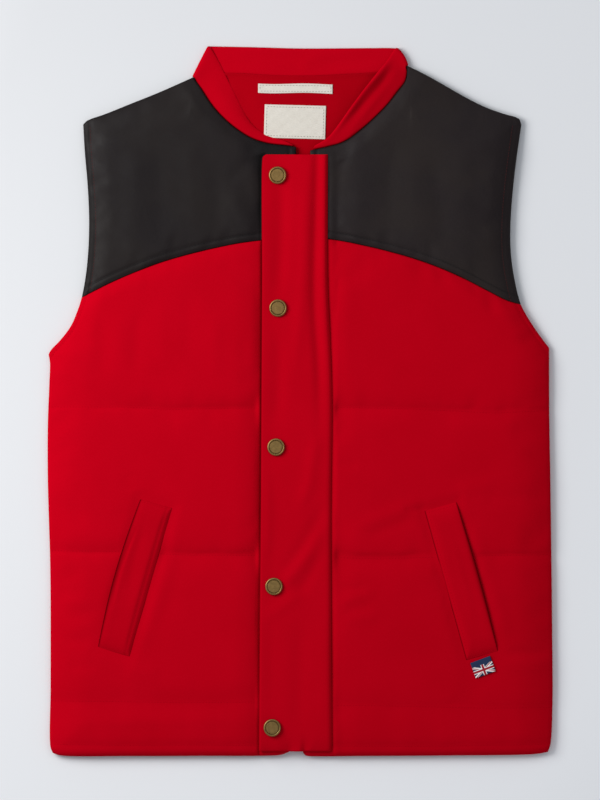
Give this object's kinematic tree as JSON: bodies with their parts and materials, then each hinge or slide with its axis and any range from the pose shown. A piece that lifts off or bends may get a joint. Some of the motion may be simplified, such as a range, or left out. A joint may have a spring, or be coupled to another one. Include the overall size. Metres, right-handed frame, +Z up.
{
  "type": "padded gilet laid flat",
  "caption": "Sleeveless padded gilet lying flat on its back, with a stand collar, dark shoulder yokes, a press-stud placket over the front opening and slanted welt pockets.",
  "frame": {"origin": "on the ground under the middle of the garment's outline, which lies on its back", "axes": "+X towards the wearer's left, +Y towards the collar, +Z up out of the fronts"},
  "size_m": [0.5356, 0.7519, 0.0199],
  "materials": {
    "red_cloth": "matt brushed red cloth, lightly padded and quilted",
    "dark_cloth": "dark waxed cotton with a slight dull sheen",
    "cream_tape": "matt cream woven tape, blank",
    "navy_tape": "woven tape, plain navy above a small Union flag",
    "old_brass": "antique brass, dulled, with a bright rim"
  },
  "bodies": {
    "root": {"back_body": "red_cloth", "back_yoke": "dark_cloth", "neck_facing": "red_cloth", "front_body_right": "red_cloth", "front_body_left": "red_cloth", "front_yoke_right": "dark_cloth", "front_yoke_left": "dark_cloth", "collar": "red_cloth", "placket": "red_cloth", "welt_right": "red_cloth", "welt_left": "red_cloth", "snap_1": "old_brass", "snap_2": "old_brass", "snap_3": "old_brass", "snap_4": "old_brass", "snap_5": "old_brass", "neck_label": "cream_tape", "strip_label": "cream_tape", "flag_label": "navy_tape"}
  },
  "joints": []
}
